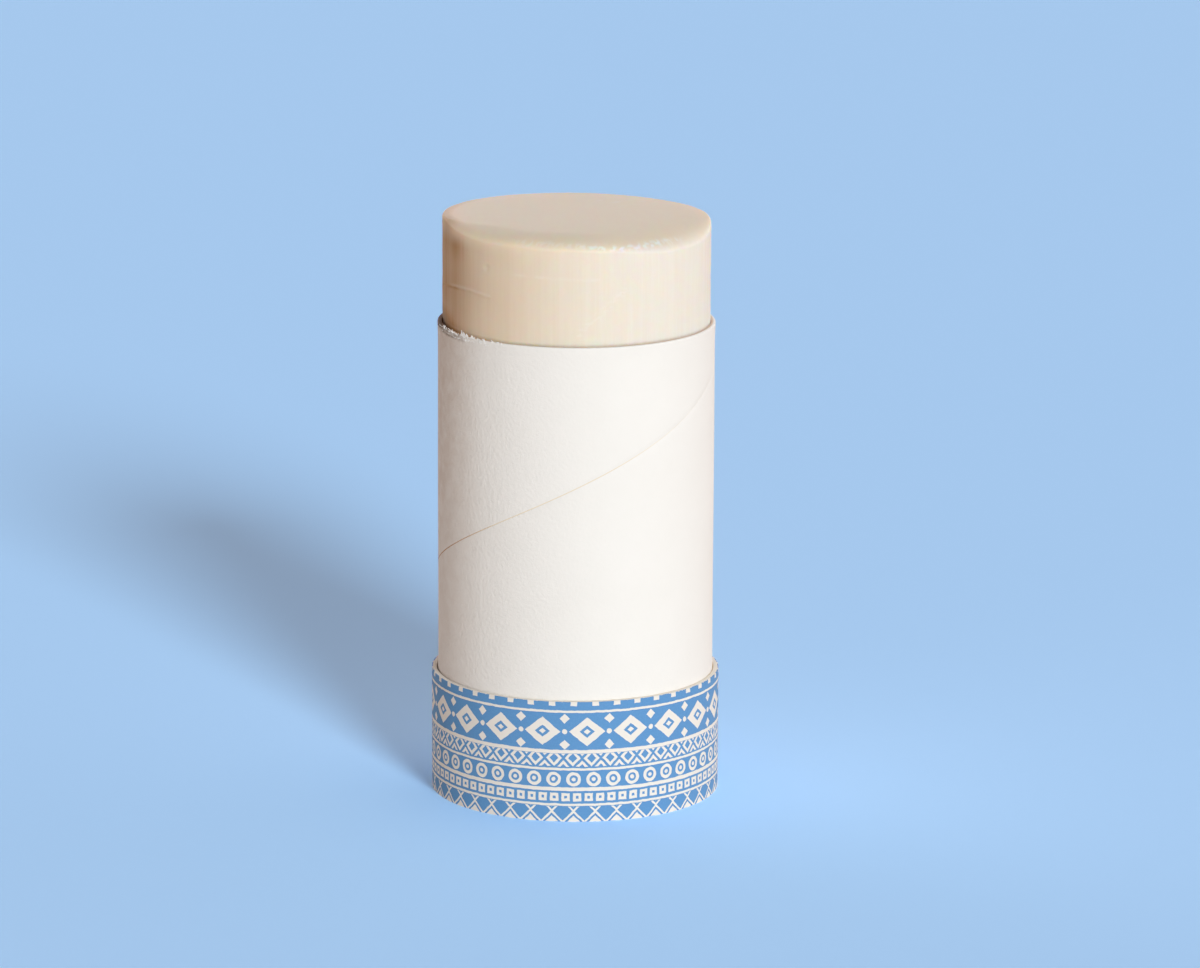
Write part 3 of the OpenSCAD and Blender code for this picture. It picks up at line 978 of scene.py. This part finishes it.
# %% [markdown]
# Printed paper. It is printed flat and then rolled round the band, so it is modelled flat as well: a grid
# as long as one turn and the lap. Each of its points then goes to the angle that its distance along the
# sheet gives. The sheet's end lies on its start, so it steps out by its own thickness there. The UV map is
# made while the sheet is flat, so the print is laid out on flat paper, in millimetres.

# %% Roll the printed paper
lap_turn = math.radians(78)
lap_w = 7 * MM
sheet_l = TURN * wrap_r + lap_w
sheet_h = band_top - foot_z
step_up = 1.8 * MM
cut_band, cut_dip, tooth_w, paper_gap = 0.1 * MM, 0.03 * MM, 0.8 * MM, 0.005 * MM
PAPER_COLUMNS, PAPER_ROWS = 330, 24

bpy.ops.mesh.primitive_grid_add(x_subdivisions=PAPER_COLUMNS, y_subdivisions=PAPER_ROWS, size=1,
                                calc_uvs=True)
paper = bpy.context.object
edit(paper)
pick("VERT", lambda p: True)
bpy.ops.transform.resize(value=(sheet_l, sheet_h, 1))
paper = done("printed_band_paper")
for v in paper.data.vertices:
    run, rise = v.co.x + sheet_l / 2, v.co.y + sheet_h / 2
    out_r = wrap_r + wrap_t * smooth(TURN * wrap_r - step_up, TURN * wrap_r, run)
    turn = lap_turn + run / wrap_r
    if rise > sheet_h - cut_band:
        rise -= cut_dip * (1 + noise.noise(Vector((run / tooth_w, 0, 0))))
        out_r -= cut_dip
    v.co = Vector((out_r * math.cos(turn), out_r * math.sin(turn), foot_z + rise))
thicken(paper, wrap_t - paper_gap, -1)
edit(paper)
turn_outward()
done()
bpy.ops.object.shade_smooth_by_angle(angle=math.radians(40))
outermost = max(radius(v.co) for v in paper.data.vertices)
wrap_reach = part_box("printed_wrap")[1].y
print("paper reaches %.2f mm from the axis, CAD wrap %.2f mm" % (outermost / MM, wrap_reach / MM))
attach(paper, "tube")
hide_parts("printed_wrap")

# %% [markdown]
# Print. One blue ink on white paper: rows of regular shapes between plain stripes. The print is this
# notebook's own: lozenges, zigzags, rings, squares and triangles. Every row comes from one Voronoi texture
# with no randomness, which has one cell for each motif. The way that it measures distance gives the shape:
# city blocks make lozenges, straight lines make rings and the longer side makes squares. A colour ramp with
# hard steps turns the distance into ink or bare paper. A little noise on the place makes the lines look
# hand cut, and the ink is slightly patchy.

# %% Print on the band
ink_rows = [
    # in mm: low, high, middle, pitch along and up; then shift in cells, distance, and from what distance on
    # a cell is bare (1) or inked (0)
    (19.15, 20.6, 20.25, 3.60, 3.6, 0.0, "CHEBYCHEV", [(0, 1), (0.15, 0)]),
    (12.3, 18.5, 15.35, 7.40, 6.0, 0.0, "MANHATTAN", [(0, 1), (0.075, 0), (0.17, 1), (0.405, 0)]),
    (12.3, 18.5, 15.35, 7.40, 7.4, 0.5, "EUCLIDEAN", [(0, 1), (0.055, 0)]),
    (12.3, 18.5, 17.55, 7.40, 7.4, 0.5, "MANHATTAN", [(0, 1), (0.11, 0)]),
    (12.3, 18.5, 13.15, 7.40, 7.4, 0.5, "MANHATTAN", [(0, 1), (0.11, 0)]),
    (9.4, 11.6, 9.2, 3.10, 3.3, 0.0, "MANHATTAN", [(0, 0), (0.20, 1), (0.39, 0), (0.57, 1), (0.76, 0)]),
    (5.9, 8.7, 7.25, 3.30, 3.3, 0.0, "EUCLIDEAN", [(0, 1), (0.10, 0), (0.21, 1), (0.37, 0)]),
    (3.2, 5.2, 4.2, 1.90, 1.9, 0.0, "CHEBYCHEV", [(0, 0), (0.12, 1), (0.36, 0)]),
    (0.0, 2.6, 0.0, 3.60, 3.6, 0.0, "MANHATTAN", [(0, 1), (0.30, 0), (0.42, 1), (0.55, 0)]),
]
ink_stripes = [(18.75, 0.2), (11.95, 0.3), (8.95, 0.2), (5.55, 0.3), (2.9, 0.2)]

print_paper, tree, place = new_material("printed_band_paper")
flat = add(tree, "UVMap")
spot = add(tree, "VectorMath", [flat, [sheet_l / MM, sheet_h / MM, 0]], operation="MULTIPLY")
wobble = add(tree, "TexNoise", {"Vector": spot, "Scale": 1.1, "Detail": 1.0})
wobble = add(tree, "VectorMath", [wobble.outputs["Color"], [0.5, 0.5, 0.5]], operation="SUBTRACT")
spot = add(tree, "VectorMath", [wobble, [0.22, 0.22, 0], spot], operation="MULTIPLY_ADD")
height = add(tree, "SeparateXYZ", [spot]).outputs["Y"]
bare = 0.0
for low, high, middle, pitch_x, pitch_y, shift, kind, steps in ink_rows:
    cell = add(tree, "VectorMath", [spot, [1 / pitch_x, 1 / pitch_y, 0], [shift, -middle / pitch_y, 0]],
               operation="MULTIPLY_ADD")
    motif = add(tree, "TexVoronoi", {"Vector": cell, "Scale": 1.0, "Randomness": 0.0},
                voronoi_dimensions="2D", distance=kind)
    ramp = add(tree, "ValToRGB", {"Fac": motif.outputs["Distance"]})
    ramp.color_ramp.interpolation = "CONSTANT"
    while len(ramp.color_ramp.elements) < len(steps):
        ramp.color_ramp.elements.new(0.99)
    for mark, (at, tone) in zip(ramp.color_ramp.elements, steps):
        mark.position, mark.color = at, (tone, tone, tone, 1)
    row = add(tree, "Math", [height, (low + high) / 2, (high - low) / 2], operation="COMPARE")
    shown = add(tree, "Math", [row, ramp], operation="MULTIPLY")
    bare = add(tree, "Math", [shown, bare], operation="MAXIMUM")
for middle, half in ink_stripes:
    stripe = add(tree, "Math", [height, middle, half], operation="COMPARE")
    bare = add(tree, "Math", [stripe, bare], operation="MAXIMUM")

nibbled = add(tree, "TexNoise", {"Vector": spot, "Scale": 2.4, "Detail": 3.0})
cut_line = add(tree, "Math", [nibbled, 0.55, height], operation="MULTIPLY_ADD")
at_cut = add(tree, "Math", [cut_line, sheet_h / MM + 0.33], operation="GREATER_THAN")
bare = add(tree, "Math", [at_cut, bare], operation="MAXIMUM")
patchy = add(tree, "TexNoise", {"Vector": spot, "Scale": 3.0, "Detail": 5.0, "Roughness": 0.7})
ink = add(tree, "Mix", {"Factor": patchy, "A": "#5590cc", "B": "#6ea7dc"})
tone = add(tree, "Mix", {"Factor": bare, "A": ink, "B": "#f5f0ea"})
face = add(tree, "BsdfPrincipled", {"Base Color": tone, "Roughness": 0.6, "Specular IOR Level": 0.3,
                                    "Normal": pulp_grain(tree, place, 0.4, 0.015 * MM)})
surface(tree, face)
paper.data.materials.append(print_paper)

# %% [markdown]
# Disc and collar. They are inside the tube and show only from below. Their CAD shapes are right already, so
# they only get their finishes: grey chip board with flecks for the disc, and waxed kraft paper with
# fibres round the collar.

# %% Disc and collar
def fleck_board(name, base, fleck, grain_mm, roughness):
    """Recycled board or kraft paper: a base tone with darker flecks and a pulp grain."""
    material, tree, place = new_material(name)
    spots = add(tree, "TexNoise", {"Vector": place, "Scale": 1 / (grain_mm * MM), "Detail": 5.0,
                                   "Roughness": 0.7})
    dark = add(tree, "MapRange", [spots, 0.5, 0.72])
    tone = add(tree, "Mix", {"Factor": dark, "A": base, "B": fleck})
    grain = pulp_grain(tree, place, 0.4, 0.04 * MM)
    face = add(tree, "BsdfPrincipled", {"Base Color": tone, "Roughness": roughness,
                                        "Specular IOR Level": 0.25, "Normal": grain})
    surface(tree, face)
    return material


for node_name, finish in (("push_disc", fleck_board("grey_chip_board", "#cdc0aa", "#a08f76", 0.8, 0.85)),
                          ("disc_collar", fleck_board("waxed_kraft_paper", "#bf9f74", "#94734b", 0.5, 0.6))):
    for piece in bpy.data.objects:
        if piece.type == "MESH" and piece.name.split(".")[0] == node_name:
            piece.data.materials.clear()
            piece.data.materials.append(finish)
            print(node_name, "finished with", finish.name)
